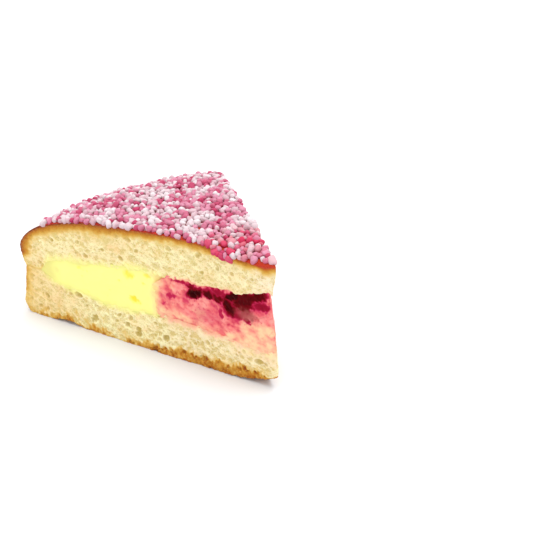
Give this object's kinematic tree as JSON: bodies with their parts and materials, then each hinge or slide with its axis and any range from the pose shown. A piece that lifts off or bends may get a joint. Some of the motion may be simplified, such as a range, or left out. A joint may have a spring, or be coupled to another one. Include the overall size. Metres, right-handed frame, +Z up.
{
  "type": "filled brioche cake slice",
  "caption": "Wedge of round domed brioche cake, split and filled with custard, pink raspberry mousse and dark raspberries, its lid crusted with sugar pearls; prepared food.",
  "frame": {"origin": "on the table, under the middle of the slice's box", "axes": "+X from the rim towards the tip along the slice's middle line, +Y towards the cut face that the picture hides, +Z up"},
  "size_m": [0.1308, 0.1006, 0.058],
  "materials": {
    "brioche": "soft open crumb with a thin golden brown crust",
    "custard": "smooth, moist pastry cream",
    "mousse": "airy raspberry cream",
    "raspberry": "dark, wet fruit",
    "sugared_brioche": "brown glazed crust under white and pink sugar pearls"
  },
  "bodies": {
    "root": {"base": "brioche", "custard": "custard", "mousse": "mousse", "raspberries": "raspberry", "lid": "sugared_brioche"}
  },
  "joints": []
}
